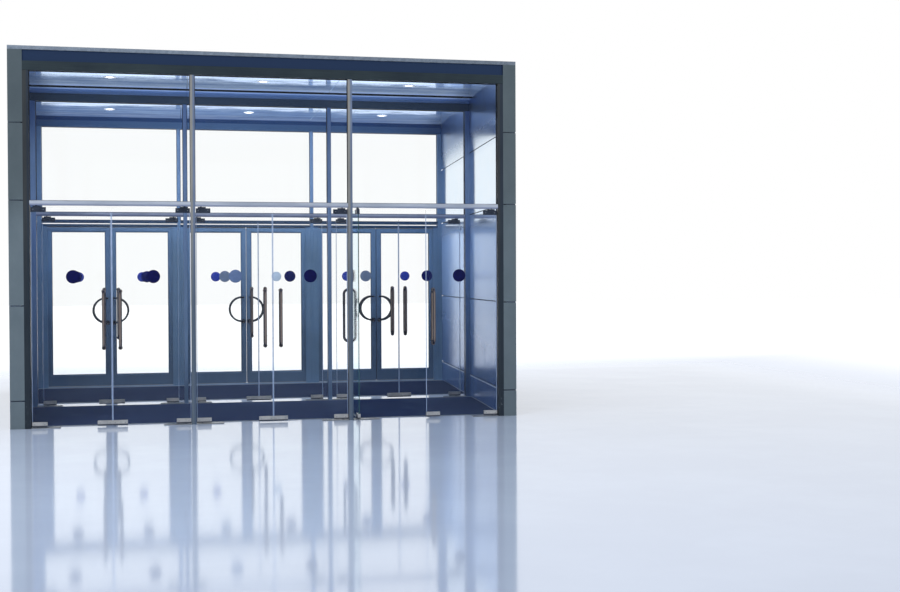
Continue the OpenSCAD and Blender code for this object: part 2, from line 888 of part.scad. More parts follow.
inner_posts();
middle_posts();
outer_posts();
head_rails();
transoms();
fixed_glass();
wall_cores();
left_cladding();
right_cladding();
ceiling_panels();
air_grille();
roof_deck();
downlights();
floor_springs();
top_pivots();
entrance_mats();
mat_edging();
for (k = LEAVES) inner_glass(k);
for (k = LEAVES) inner_fittings(k);
for (k = LEAVES) middle_glass(k);
for (k = LEAVES) middle_fittings(k);
for (k = LEAVES) outer_frame(k);
for (k = LEAVES) outer_glass(k);
for (k = LEAVES) outer_handles(k);
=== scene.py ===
"""Surfaces and small fitted pieces of a glazed draught lobby with double doors."""
import json
import math

import bmesh
import bpy
from mathutils import Matrix, Vector


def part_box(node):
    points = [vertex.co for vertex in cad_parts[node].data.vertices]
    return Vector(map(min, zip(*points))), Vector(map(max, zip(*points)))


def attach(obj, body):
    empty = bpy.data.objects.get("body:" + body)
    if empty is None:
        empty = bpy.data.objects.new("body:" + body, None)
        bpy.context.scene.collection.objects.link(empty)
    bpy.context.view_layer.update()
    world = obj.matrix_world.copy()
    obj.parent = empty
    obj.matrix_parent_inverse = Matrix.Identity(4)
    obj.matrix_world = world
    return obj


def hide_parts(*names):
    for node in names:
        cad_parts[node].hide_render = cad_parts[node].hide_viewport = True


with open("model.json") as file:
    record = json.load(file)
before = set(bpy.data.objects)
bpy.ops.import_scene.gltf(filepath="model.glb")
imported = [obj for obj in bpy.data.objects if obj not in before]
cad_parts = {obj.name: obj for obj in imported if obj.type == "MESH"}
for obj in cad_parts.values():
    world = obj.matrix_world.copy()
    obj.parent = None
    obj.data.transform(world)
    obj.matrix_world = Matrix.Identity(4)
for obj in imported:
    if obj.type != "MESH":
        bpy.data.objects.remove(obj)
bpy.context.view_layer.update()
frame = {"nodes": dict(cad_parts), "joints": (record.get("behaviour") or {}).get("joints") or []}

# Sizes repeated from the part, in metres
ROWS = ("inner", "middle", "outer")
ROW_Y = [sum(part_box(f"{row}_posts")[end].y for end in (0, 1)) / 2 for row in ROWS]
BAYS = (-1, 0, 1)
LEAVES = range(1, 7)
HINGES = {joint["child"]: joint["pos_m"] for joint in frame["joints"]}
OPEN_LEAF, OPEN_ANGLE = ("inner", 5), math.radians(90)
SPLAY = math.tan(math.radians(4.1))
BAY_INNER, POST_W, WALL_GAP = 1.740, 0.050, 0.018
TRANSOM_Z, TRANSOM_TOP = 2.400, (2.450, 2.450, 2.475)
HEAD_Z, HEAD_FACE_H = 3.840, 0.100
CEILING_Z = 4.000
GLASS_T, UNIT_T, UNIT_IN = 0.012, 0.024, 0.015
LEAF_Z, LEAF_TOP, PIVOT_IN = 0.013, 2.380, 0.055
PATCH_W, PATCH_H, PATCH_D, PATCH_LIP = 0.158, 0.052, 0.032, 0.002
PULL_Z, PULL_L, PULL_IN = 0.855, 0.615, 0.084
OUTER_Z, OUTER_TOP, LEAF_D = 0.020, 2.367, 0.055
STILE_W, LIGHT_Z, LIGHT_TOP = 0.072, 0.187, 2.297
HINGE_GAP, HINGE_Y, STOP_Y = 0.005, 0.0395, 0.0335
BOW_IN, BOW_LEG, BOW_R, BOW_Z, LOCK_T = 0.063, 0.022, 0.182, 1.135, 0.008
LAMP_Y = (1.340, 1.870)
MAT_T, EDGING_W = 0.008, 0.008
STRIP_IN, STRIP_OUT = 0.165, 0.320

# Sizes of what is fitted or drawn here, in metres
DOT_Z, DOT_R, FILM_T = 1.630, 0.0725, 0.0006
LIP_HIGHLIGHT_Z = 0.285
BOARD_W, BOARD_H, TAPE_W, JOINT_W = 1.200, 2.600, 0.090, 0.003
SPOT_W, SPOT_PITCH = 0.022, 0.250
DECK_SHEET, FOLD_W = 0.500, 0.060
PATCH_SCREW_IN, COVER_SCREWS, LOCK_DROP = 0.026, (0.016, 0.284), 0.021
RIB_PITCH, RIB_W = 0.016, 0.0115

# Bounds between which one colour gives way to another, in metres; most of them bound painted
# light and shade
ROW_SPLITS = ((-1.6, -1.2), (1.0, 1.4))
SCUFFS_END = (0.05, 0.6)
POST_SHADE, END_POST_SHADE = (1.2, 2.7), (1.6, 2.4)
FRAME_SHADE, OUTER_POST_SHADE = (0.3, 2.2), (1.9, 2.8)
PATCH_SHADE = (0.022, 0.032)
FITTING_SPLITS = ((0.5, 0.6), (1.9, 2.0))
WALL_SHADE, WALL_REFLECTION_BAND = (0.2, 2.2), ((2.1, 2.6), (3.15, 3.65))
CEILING_LIT_STRIP = ((-0.85, -0.60), (-0.40, -0.30))
CEILING_SHADE = (2.30, 2.60)
MAT_SHADE_SPLIT = (-0.3, 0.3)
FLOOR_END_X, FLOOR_END_Y = (7.0, 14.0), (4.0, 9.0)

BLACK, WHITE, CLEAR = (0, 0, 0, 1), (1, 1, 1, 1), (0.88, 0.95, 1.0, 1)


# Shader writing

class Wire:
    """A shader socket whose arithmetic adds Math nodes."""

    def __init__(self, paint, socket):
        self.paint = paint
        self.socket = socket

    def math(self, operation, *values):
        return self.paint.node("ShaderNodeMath", {"operation": operation},
                               dict(enumerate(values)))

    def __add__(self, other):
        return self.math("ADD", self, other)

    def __sub__(self, other):
        return self.math("SUBTRACT", self, other)

    def __rsub__(self, other):
        return self.math("SUBTRACT", other, self)

    def __mul__(self, other):
        return self.math("MULTIPLY", self, other)

    def __truediv__(self, other):
        return self.math("DIVIDE", self, other)

    def __pow__(self, other):
        return self.math("POWER", self, other)

    def __abs__(self):
        return self.math("ABSOLUTE", self)

    def __or__(self, other):
        return self.math("MAXIMUM", self, other)

    __radd__ = __add__
    __rmul__ = __mul__

    def fraction(self):
        return self.math("FRACT", self)

    def step(self, low, high):
        """0 below low and 1 above high, eased between them."""
        return self.paint.node("ShaderNodeMapRange", {"interpolation_type": "SMOOTHSTEP"},
                               {0: self, 1: low, 2: high})


class Paint:
    """The nodes of one finish, with the few that every finish here is written with."""

    def __init__(self, tree):
        self.tree = tree
        tree.nodes.clear()

    def node(self, kind, settings=None, values=None, out=0):
        made = self.tree.nodes.new(kind)
        for name, value in (settings or {}).items():
            setattr(made, name, value)
        for key, value in (values or {}).items():
            if isinstance(value, Wire):
                self.tree.links.new(value.socket, made.inputs[key])
            else:
                made.inputs[key].default_value = value
        return Wire(self, made.outputs[out])

    def coordinate(self, what="Object"):
        return self.node("ShaderNodeTexCoord", out=what)

    def axis(self, wire, letter):
        return self.node("ShaderNodeSeparateXYZ", None, {0: wire}, "XYZ".index(letter))

    def place(self, letter, what="Object"):
        return self.axis(self.coordinate(what), letter)

    def facing(self, letter, low=0.80, high=0.95):
        """1 where a face looks along the axis, either way."""
        return abs(self.axis(self.coordinate("Normal"), letter)).step(low, high)

    def outside(self):
        """1 on the faces that look out of doors."""
        return self.axis(self.coordinate("Normal"), "Y").step(0.3, 0.7)

    def noise(self, scale, detail, roughness):
        scaled = self.node("ShaderNodeVectorMath", {"operation": "MULTIPLY"},
                           {0: self.coordinate(), 1: scale})
        return self.node("ShaderNodeTexNoise", None,
                         {"Vector": scaled, "Scale": 1.0, "Detail": detail,
                          "Roughness": roughness})

    def mix(self, factor, a, b):
        return self.node("ShaderNodeMix", {"data_type": "RGBA"}, {0: factor, 6: a, 7: b}, 2)

    def bump(self, height, distance, strength=1.0):
        return self.node("ShaderNodeBump", None,
                         {"Height": height, "Distance": distance, "Strength": strength})

    def principled(self, **values):
        return self.node("ShaderNodeBsdfPrincipled", None,
                         {name.replace("_", " "): value for name, value in values.items()})

    def end(self, kind, shader):
        made = self.tree.nodes.new(kind)
        self.tree.links.new(shader.socket, made.inputs["Surface"])


def rgb(red, green, blue):
    """A colour from its screen values, 0 to 255."""
    def linear(value):
        value /= 255
        return value / 12.92 if value <= 0.04045 else ((value + 0.055) / 1.055) ** 2.4
    return (linear(red), linear(green), linear(blue), 1.0)


def finish(write):
    """Makes the material that a function writes, named after the function."""
    material = bpy.data.materials.new(write.__name__)
    material.use_nodes = True
    paint = Paint(material.node_tree)
    paint.end("ShaderNodeOutputMaterial", write(paint))
    return material


# Kinds of finish

GRAIN = {"X": (3, 700, 700), "Y": (700, 3, 700), "Z": (700, 700, 3)}


def satin_metal(p, dull, bright, grain, roughness, side=None, side_shade_colour=None):
    """Brushed and anodised metal: fine grain along one axis, cloudy tone and scuffs low down.
    Faces that look along the side axis may take a darker colour of their own, painted shade."""
    streak = p.noise(GRAIN[grain], 4.0, 0.6)
    cloud = p.noise((1.7, 1.7, 1.1), 3.0, 0.55)
    low_down = 1 - p.place("Z").step(*SCUFFS_END)
    scuff = p.noise((40, 40, 26), 5.0, 0.7).step(0.58, 0.75) * low_down
    base = p.mix((streak * 0.6 + cloud * 0.4).step(0.30, 0.70), dull, bright)
    if side:
        # Painted shade on the faces that look along the side axis.
        base = p.mix(p.facing(side), base, side_shade_colour)
    base = p.mix(scuff * 0.4, base, rgb(168, 172, 178))
    rough = roughness + streak * 0.10 + cloud * 0.08 - 0.07 + scuff * 0.2
    return p.principled(Base_Color=base, Roughness=rough, Metallic=0.9,
                        Normal=p.bump(streak, 0.00012, 0.5))


def coated_metal(p, colour, roughness=0.38, contrast=0.10):
    """Powder-coated metal: orange peel, faint cloud and rubbed patches."""
    peel = p.noise((420, 420, 420), 2.0, 0.5)
    cloud = p.noise((2.3, 2.3, 2.3), 4.0, 0.6)
    rubbed = p.noise((17, 17, 11), 5.0, 0.7).step(0.60, 0.78)
    base = p.mix(cloud.step(0.3, 0.7) * contrast * 2, colour, rgb(30, 36, 46))
    base = p.mix(rubbed * 0.16, base, rgb(130, 140, 156))
    return p.principled(Base_Color=base, Roughness=roughness + cloud * 0.1 - rubbed * 0.08,
                        Metallic=0.25, Specular_IOR_Level=0.5, Normal=p.bump(peel, 0.00008, 0.6))


def polished_sheet(p, low, high, grain, roughness, wave, painted_glow=0.0, dulled=0.0, painted=0.0):
    """Polished metal sheet: a mirror that waves a little, with fine grain and dusty clouds.
    It is plain grey where it turns round the ends of the walls."""
    streak = p.noise(GRAIN[grain], 3.0, 0.5)
    dent = p.noise((1.3, 1.3, 0.9), 2.0, 0.4)
    cloud = p.noise((3.1, 3.1, 2.2), 5.0, 0.6)
    base = p.mix((streak * 0.5 + cloud * 0.5).step(0.3, 0.7), low, high)
    outer_side = p.axis(p.coordinate("Normal"), "X") * p.place("X")
    end = p.facing("Y") | outer_side.step(0.5, 1.0)
    base = p.mix(end, base, p.mix(cloud, rgb(96, 106, 110), rgb(122, 132, 134)))
    rough = roughness + cloud.step(0.4, 0.8) * 0.05 + streak * 0.03 + (end | dulled) * 0.25
    # Emission, where given, is painted light: the sheet is no lamp.
    return p.principled(Base_Color=base, Roughness=rough, Metallic=1.0 - painted,
                        Emission_Color=base, Emission_Strength=painted_glow, Specular_IOR_Level=0.15,
                        Specular_Tint=(0.90, 0.95, 1.0, 1),
                        Normal=p.bump(dent + streak * 0.002, wave))


def clear_sheet(p, edge_colour, faces, tint):
    """Clear glass: see-through on its faces, green and bright along its cut edges."""
    tilt = p.node("ShaderNodeLayerWeight", None, {"Blend": 0.5}, "Facing")
    smear = p.noise((2.2, 2.2, 3.1), 5.0, 0.6).step(0.45, 0.8)
    edge = 1 - faces
    mirror = 0.009 + (tilt ** 4.0) * 0.6 + smear * 0.004
    base = p.mix(edge, CLEAR, edge_colour)
    surface = p.principled(Base_Color=base, Metallic=1 - edge, Roughness=0.02 + smear * 0.05,
                           Specular_IOR_Level=0.6)
    clear = p.node("ShaderNodeBsdfTransparent", None, {"Color": tint})
    seen = mirror * (1 - edge) + edge * 0.9
    return p.node("ShaderNodeMixShader", None, {0: seen, 1: clear, 2: surface})


def by_row(p, inner, middle, outer, outdoors=None):
    """One colour to each row, told apart by depth, and one to the outer row's outside."""
    y = p.place("Y")
    if outdoors:
        outer = p.mix(p.outside(), outer, outdoors)
    first, second = (y.step(*split) for split in ROW_SPLITS)
    return p.mix(second, p.mix(first, inner, middle), outer)


def by_height(p, low, high, bounds):
    """A colour that turns from low to high between two heights."""
    return p.mix(p.place("Z").step(*bounds), low, high)


def seams(p, letter, pitch, width):
    """1 on lines of this width, one to each pitch along an axis."""
    off = abs((p.place(letter) / pitch).fraction() - 0.5) * pitch
    return 1 - off.step(width * 0.4, width * 0.6)


# Finishes

@finish
def inner_post_metal(p):
    """Satin with a painted warm highlight on one half of each post's face and a cooler painted
    reflection on the other, with painted shade low down, on the end posts and on the sides.
    """
    # Painted highlight and reflection: warm on one half of each post's face, cool on the other.
    across = ((p.place("X") / BAY_INNER).fraction() - 0.5) * BAY_INNER
    half = across.step(-0.008, 0.010)
    # Painted shade low down.
    low = 1 - p.place("Z").step(*POST_SHADE)
    warm = p.mix(low, rgb(188, 182, 172), rgb(124, 134, 142))
    cool = p.mix(low, rgb(150, 162, 188), rgb(98, 114, 134))
    # Painted shade on the end posts, by the walls.
    end = abs(p.place("X")).step(*END_POST_SHADE) * 0.9
    bright = p.mix(end, p.mix(half, warm, cool), rgb(54, 60, 64))
    dull = p.mix(low, p.mix(half, rgb(144, 142, 138), rgb(106, 118, 136)), rgb(98, 108, 120))
    dull = p.mix(end, dull, rgb(36, 42, 48))
    # The posts' sides take a dark painted shade.
    return satin_metal(p, dull, bright, "Z", 0.34, "X", rgb(22, 28, 40))


@finish
def middle_post_metal(p):
    """Blue-grey satin, darker low down with painted shade, and with painted shade on the sides.
    """
    # Painted shade low down.
    low = 1 - p.place("Z").step(*POST_SHADE)
    dull = p.mix(low, rgb(98, 122, 158), rgb(90, 112, 140))
    bright = p.mix(low, rgb(140, 162, 200), rgb(130, 154, 186))
    # The posts' sides take a darker painted shade.
    return satin_metal(p, dull, bright, "Z", 0.32, "X", rgb(52, 68, 96))


@finish
def satin_transoms(p):
    """Bright satin with a dull lower edge in the first two rows, and navy in the outer one: the
    bright top is a painted highlight, the dull lower edge painted shade, the rows' colours
    painted light, and the outer row's outside faces plain grey.
    """
    z = p.place("Z")
    # Painted shade along the lower edge under a painted highlight, in the first two rows.
    warm = p.mix(z.step(TRANSOM_Z + 0.008, TRANSOM_Z + 0.024), rgb(156, 164, 194),
                 rgb(230, 232, 238))
    cool = p.mix(z.step(TRANSOM_Z + 0.010, TRANSOM_Z + 0.032), rgb(112, 120, 152),
                 rgb(196, 202, 222))
    # The rows' colours are painted light; the outer row's outside faces keep plain grey.
    bright = by_row(p, warm, cool, rgb(74, 96, 124), rgb(96, 104, 114))
    dull = by_row(p, rgb(174, 180, 192), rgb(126, 134, 158), rgb(70, 88, 116),
                  rgb(84, 92, 102))
    return satin_metal(p, dull, bright, "X", 0.30)


@finish
def satin_heads(p):
    """Khaki satin in the inner row and navy in the others, the rows' colours painted light and
    the outer row's outside faces plain grey, with painted shade in the recess over the face and
    pale painted light in the middle row's recess.
    """
    face_top = HEAD_Z + HEAD_FACE_H
    recess = p.place("Z").step(face_top - 0.002, face_top + 0.002)
    # The rows' colours are painted light; the outer row's outside faces keep plain grey.
    bright = by_row(p, rgb(70, 80, 82), rgb(80, 94, 108), rgb(100, 128, 160),
                    rgb(98, 106, 116))
    dull = by_row(p, rgb(46, 54, 62), rgb(62, 76, 92), rgb(86, 112, 144), rgb(84, 92, 102))
    # The recess over the face takes painted shade, and pale painted light in the middle row.
    shadow = by_row(p, rgb(50, 66, 94), rgb(132, 160, 204), rgb(64, 88, 128),
                    rgb(52, 58, 66))
    return satin_metal(p, p.mix(recess, dull, shadow), p.mix(recess, bright, shadow), "X", 0.34)


@finish
def mat_frame_metal(p):
    return satin_metal(p, rgb(112, 118, 130), rgb(150, 156, 166), "X", 0.36)


@finish
def spring_cover_metal(p):
    return satin_metal(p, rgb(112, 114, 118), rgb(156, 158, 160), "X", 0.28)


@finish
def dark_frame_coat(p):
    # Indoor faces take painted bluish light, darker low down with painted shade; the faces that
    # look out of doors keep the coat's plain grey.
    indoors = by_height(p, rgb(72, 94, 120), rgb(98, 128, 162), FRAME_SHADE)
    return coated_metal(p, p.mix(p.outside(), indoors, rgb(92, 102, 114)))


@finish
def dark_post_coat(p):
    # Indoor faces take painted bluish light, darker low down with painted shade; the faces that
    # look out of doors keep the coat's plain grey.
    indoors = by_height(p, rgb(94, 122, 150), rgb(104, 134, 172), OUTER_POST_SHADE)
    return coated_metal(p, p.mix(p.outside(), indoors, rgb(86, 96, 108)), 0.34)


@finish
def deck_coat(p):
    """Galvanised sheets with folded seams, dusty and a little stained."""
    spangle = p.node("ShaderNodeTexVoronoi", None,
                     {"Vector": p.coordinate(), "Scale": 38.0}, "Color")
    cloud = p.noise((1.1, 1.1, 1.1), 5.0, 0.6)
    fold = seams(p, "X", DECK_SHEET, FOLD_W) * p.facing("Z")
    zinc = p.axis(spangle, "X") * 0.5 + cloud * 0.5
    base = p.mix(zinc, rgb(108, 116, 126), rgb(146, 154, 162))
    base = p.mix(cloud.step(0.50, 0.75) * 0.5, base, rgb(92, 96, 98))
    base = p.mix(fold * 0.75, base, rgb(186, 192, 198))
    return p.principled(Base_Color=base, Metallic=0.45, Roughness=0.42 + cloud * 0.2,
                        Normal=p.bump(fold, 0.006))


@finish
def core_coat(p):
    """Grey wall boards with filled and taped joints and spotted screw heads."""
    grain = p.noise((260, 260, 260), 3.0, 0.6)
    cloud = p.noise((1.5, 1.5, 1.5), 4.0, 0.6)
    tape = seams(p, "Y", BOARD_W, TAPE_W) | seams(p, "Z", BOARD_H, TAPE_W)
    joint = seams(p, "Y", BOARD_W, JOINT_W) | seams(p, "Z", BOARD_H, JOINT_W)
    spots = seams(p, "Y", BOARD_W / 2, SPOT_W) * seams(p, "Z", SPOT_PITCH, SPOT_W)
    base = p.mix(cloud.step(0.3, 0.7), rgb(96, 102, 110), rgb(114, 120, 126))
    base = p.mix((tape | spots) * (grain * 0.3 + 0.5), base, rgb(152, 156, 158))
    base = p.mix(joint * 0.7, base, rgb(60, 64, 70))
    return p.principled(Base_Color=base, Roughness=0.75 + grain * 0.1,
                        Normal=p.bump(tape * 0.6 + grain * 0.1 - joint, 0.0015, 0.8))


@finish
def grille_coat(p):
    return coated_metal(p, rgb(22, 25, 30), 0.5)


@finish
def pivot_coat(p):
    return coated_metal(p, rgb(44, 48, 54), 0.42)


@finish
def bow_coat(p):
    return coated_metal(p, rgb(22, 26, 40), 0.24, 0.15)


@finish
def wall_panels(p):
    """Painted reflections on the polished sheet: a white band of painted daylight high up,
    painted blue over and under it, darker low down with painted shade, and a painted highlight on
    the lip of the skirting.
    """
    z = p.place("Z")
    # A white band of painted daylight between painted blue above and below.
    upper = z.step(*WALL_REFLECTION_BAND[1])
    lower = 1 - z.step(*WALL_REFLECTION_BAND[0])
    # Painted blue reflection, darker low down with painted shade.
    blue = p.mix(z.step(*WALL_SHADE), rgb(90, 118, 166), rgb(172, 202, 244))
    # A painted highlight along the lip of the skirting.
    blue = p.mix(abs(z - LIP_HIGHLIGHT_Z).step(0.007, 0.010), rgb(222, 232, 250), blue)
    dull = p.mix(upper, p.mix(lower, rgb(236, 246, 255), blue), rgb(80, 108, 150))
    bright = p.mix(upper, p.mix(lower, rgb(250, 252, 255), blue), rgb(108, 138, 182))
    return polished_sheet(p, dull, bright, "Z", 0.05, 0.003, dulled=upper | lower * 0.5,
                          painted=lower * 0.6)


@finish
def ceiling_sheets(p):
    """Long pale streaks along the panels, a pale strip of painted light before the grille, the
    side walls' painted shade at both ends, and a painted glow all over.
    """
    streak = p.noise((0.5, 8.0, 1.0), 3.0, 0.55).step(0.40, 0.60)
    y = p.place("Y")
    # A pale strip of painted light before the grille.
    lit_strip = y.step(*CEILING_LIT_STRIP[0]) * (1 - y.step(*CEILING_LIT_STRIP[1]))
    pale = streak * 0.7 | lit_strip
    shade = (abs(p.place("X")) - (y - ROW_Y[0]) * SPLAY).step(*CEILING_SHADE) * 0.7
    low = p.mix(shade, p.mix(pale, rgb(116, 146, 196), rgb(166, 194, 236)), rgb(56, 78, 118))
    high = p.mix(shade, p.mix(pale, rgb(146, 174, 218), rgb(206, 226, 252)), rgb(70, 94, 136))
    # The glow is painted light, as if from the bright ground outside.
    return polished_sheet(p, low, high, "Y", 0.06, 0.010, painted_glow=0.40)


@finish
def door_glass(p):
    return clear_sheet(p, rgb(22, 96, 92), p.facing("Y", 0.5, 0.8), (0.997, 1.0, 1.0, 1))


@finish
def shaded_open_door_glass(p):
    # The door glass again, with darker edges and a deeper tint for the open leaf: painted shade.
    return clear_sheet(p, rgb(14, 70, 70), p.facing("X", 0.5, 0.8), (0.93, 0.985, 1.0, 1))


def leaf_fittings(p, painted_highlight):
    """Pale satin on the bottom patches with painted shade on their lower part, the top ones dark
    with painted shade, and bronze-grey pull handles with a painted highlight along their fronts."""
    streak = p.noise((500, 500, 60), 4.0, 0.6)
    cloud = p.noise((9, 9, 6), 4.0, 0.6)
    z = p.place("Z")
    grain = (streak * 0.5 + cloud * 0.5).step(0.3, 0.7)
    patch = p.mix(grain, rgb(170, 168, 166), rgb(216, 210, 202))
    # Painted shade on the lower part of the bottom patches.
    patch = p.mix(z.step(*PATCH_SHADE), rgb(70, 74, 82), patch)
    pull = p.mix(grain, rgb(62, 60, 70), rgb(98, 92, 94))
    # A painted highlight along the fronts of the pulls.
    pull = p.mix(p.facing("Y", 0.72, 0.98) * painted_highlight, pull, rgb(204, 180, 160))
    # The top patches are darkened with painted shade.
    shaded_top_patch = p.mix(grain, rgb(46, 52, 64), rgb(78, 84, 96))
    over_patch, over_pull = (z.step(*split) for split in FITTING_SPLITS)
    base = p.mix(over_pull, p.mix(over_patch, patch, pull), shaded_top_patch)
    return p.principled(Base_Color=base, Metallic=0.9,
                        Roughness=0.26 + streak * 0.08 + cloud * 0.10,
                        Normal=p.bump(streak, 0.0001, 0.5))


@finish
def fittings_steel(p):
    # With the painted highlight along the pulls.
    return leaf_fittings(p, 0.38)


@finish
def open_door_fittings(p):
    # Without the painted highlight, for the open leaf.
    return leaf_fittings(p, 0.0)


@finish
def lamp_trim(p):
    speck = p.noise((60, 60, 60), 3.0, 0.5)
    colour = p.mix(speck, rgb(224, 228, 232), rgb(244, 246, 248))
    # The emission is painted light: the white trim is no lamp.
    return p.principled(Base_Color=colour, Roughness=0.42 + speck * 0.1, Metallic=0.1,
                        Emission_Color=colour, Emission_Strength=0.35)


@finish
def lamp_glow(p):
    ripple = p.noise((90, 90, 90), 2.0, 0.5)
    colour = p.mix(ripple, (1.0, 0.96, 0.88, 1), (1.0, 1.0, 0.97, 1))
    return p.principled(Base_Color=colour, Roughness=0.3, Emission_Color=colour,
                        Emission_Strength=6.0)


@finish
def rubber_seal(p):
    grit = p.noise((300, 300, 300), 3.0, 0.6)
    return p.principled(Base_Color=p.mix(grit, rgb(14, 15, 18), rgb(34, 36, 40)),
                        Roughness=0.62 + grit * 0.15, Normal=p.bump(grit, 0.0001, 0.5))


@finish
def navy_film(p):
    """Navy film, lighter from row to row with painted light, and a plain navy on the faces that
    look out of doors.
    """
    haze = p.noise((30, 30, 30), 4.0, 0.6)
    # The rows' lighter navies are painted light.
    base = p.mix(haze.step(0.3, 0.7),
                 by_row(p, rgb(4, 8, 56), rgb(14, 20, 84), rgb(34, 50, 140)),
                 by_row(p, rgb(8, 12, 74), rgb(20, 30, 108), rgb(48, 66, 164)))
    return p.principled(Base_Color=p.mix(p.outside(), base, rgb(18, 24, 66)),
                        Roughness=0.30 + haze * 0.1, Specular_IOR_Level=0.15)


@finish
def grey_film(p):
    """Slate film in the first two rows, and paler in the outer one, with painted light glowing in
    the middle and outer rows as if lit from behind; the faces that look out of doors are plain
    slate.
    """
    haze = p.noise((30, 30, 30), 4.0, 0.6)
    # The rows' paler slates are painted light.
    base = p.mix(haze.step(0.3, 0.7),
                 by_row(p, rgb(84, 102, 136), rgb(112, 126, 150), rgb(146, 160, 178)),
                 by_row(p, rgb(94, 114, 148), rgb(124, 138, 162), rgb(160, 172, 188)))
    # Painted light: the film glows as if lit from behind.
    painted_glow = by_row(p, BLACK, rgb(20, 26, 36), rgb(98, 110, 120))
    outside = p.outside()
    return p.principled(Base_Color=p.mix(outside, base, rgb(112, 124, 142)),
                        Roughness=0.35 + haze * 0.1,
                        Emission_Color=p.mix(outside, painted_glow, BLACK), Emission_Strength=1.0)


@finish
def mat_pile(p):
    """Dark ribbed textile: fibres, worn lanes and caught dust, with painted shade on the mat in
    the outer chamber.
    """
    fibre = p.noise((900, 1400, 500), 4.0, 0.7)
    lane = p.noise((1.4, 0.8, 1.0), 3.0, 0.5)
    dust = p.noise((120, 120, 120), 5.0, 0.75).step(0.62, 0.80)
    base = p.mix(fibre.step(0.3, 0.7), rgb(28, 38, 62), rgb(54, 68, 102))
    base = p.mix(lane.step(0.45, 0.75) * 0.35, base, rgb(74, 88, 112))
    base = p.mix(dust * 0.35, base, rgb(110, 118, 138))
    # Painted shade darkens the mat in the outer chamber.
    base = p.mix(p.place("Y").step(*MAT_SHADE_SPLIT) * 0.4, base, rgb(10, 16, 30))
    return p.principled(Base_Color=base, Roughness=0.9 + fibre * 0.1,
                        Normal=p.bump(fibre, 0.0008, 0.8), Specular_IOR_Level=0.2)


@finish
def edge_seal_plastic(p):
    """Milky clear seal on the cut edges of the glass leaves."""
    haze = p.noise((60, 60, 12), 3.0, 0.5)
    colour = p.mix(haze, rgb(140, 158, 186), rgb(184, 198, 220))
    return p.principled(Base_Color=colour, Roughness=0.18 + haze * 0.15)


@finish
def floor_stone(p):
    """Pale polished floor, lost in white far from the part."""
    cloud = p.noise((0.7, 0.7, 0.7), 5.0, 0.6)
    far = abs(p.place("X")).step(*FLOOR_END_X) | p.place("Y").step(*FLOOR_END_Y)
    colour = p.mix(cloud.step(0.35, 0.7), rgb(206, 213, 226), rgb(212, 219, 231))
    return p.principled(Base_Color=p.mix(far, colour, BLACK),
                        Emission_Color=p.mix(far, BLACK, WHITE), Emission_Strength=1.0,
                        Roughness=0.05 + cloud * 0.05 + far, IOR=2.6)


NODE_FINISH = {
    "inner_posts": inner_post_metal, "middle_posts": middle_post_metal,
    "outer_posts": dark_post_coat,
    "head_rails": satin_heads, "transoms": satin_transoms, "fixed_glass": door_glass,
    "wall_cores": core_coat, "left_cladding": wall_panels, "right_cladding": wall_panels,
    "ceiling_panels": ceiling_sheets, "air_grille": grille_coat, "roof_deck": deck_coat,
    "downlights": lamp_trim, "floor_springs": spring_cover_metal, "top_pivots": pivot_coat,
    "entrance_mats": mat_pile, "mat_edging": mat_frame_metal,
    "inner_glass": door_glass, "middle_glass": door_glass, "outer_glass": door_glass,
    "inner_fittings": fittings_steel, "middle_fittings": fittings_steel,
    "inner_glass_5": shaded_open_door_glass, "inner_fittings_5": open_door_fittings,
    "outer_frame": dark_frame_coat, "outer_handles": bow_coat,
}
for name, node in frame["nodes"].items():
    chosen = NODE_FINISH.get(name) or NODE_FINISH[name[:-2]]
    node.data.materials.clear()
    node.data.materials.append(chosen)


# Mesh making

